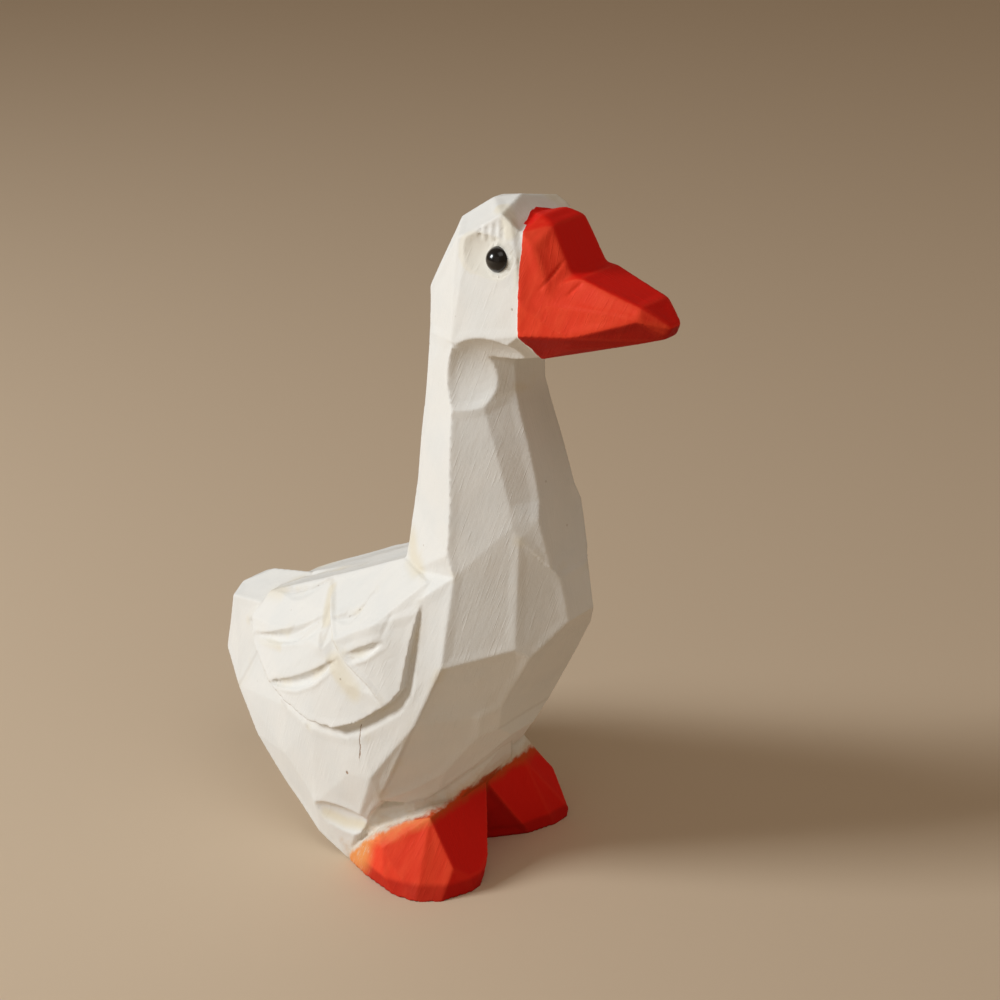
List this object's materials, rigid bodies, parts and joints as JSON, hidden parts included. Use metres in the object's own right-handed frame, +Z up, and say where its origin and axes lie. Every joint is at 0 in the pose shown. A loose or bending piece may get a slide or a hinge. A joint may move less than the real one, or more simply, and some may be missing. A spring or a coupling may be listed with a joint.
{
  "type": "carved goose figurine",
  "caption": "Small standing goose carved from wood in flat knife cuts and painted white, with a red bill, red feet and black bead eyes.",
  "frame": {"origin": "centre of the bounding box at the ground, under the feet", "axes": "+X towards the tip of the bill, +Y towards the goose's left side, +Z up"},
  "size_m": [0.086, 0.0398, 0.1115],
  "materials": {
    "goose_carving": "thin off-white paint over carved wood, with red paint on the bill and feet",
    "right_eye_bead": "black, polished",
    "left_eye_bead": "black, polished"
  },
  "bodies": {
    "root": {"goose_carving": "goose_carving", "right_eye_bead": "right_eye_bead", "left_eye_bead": "left_eye_bead"}
  },
  "joints": []
}
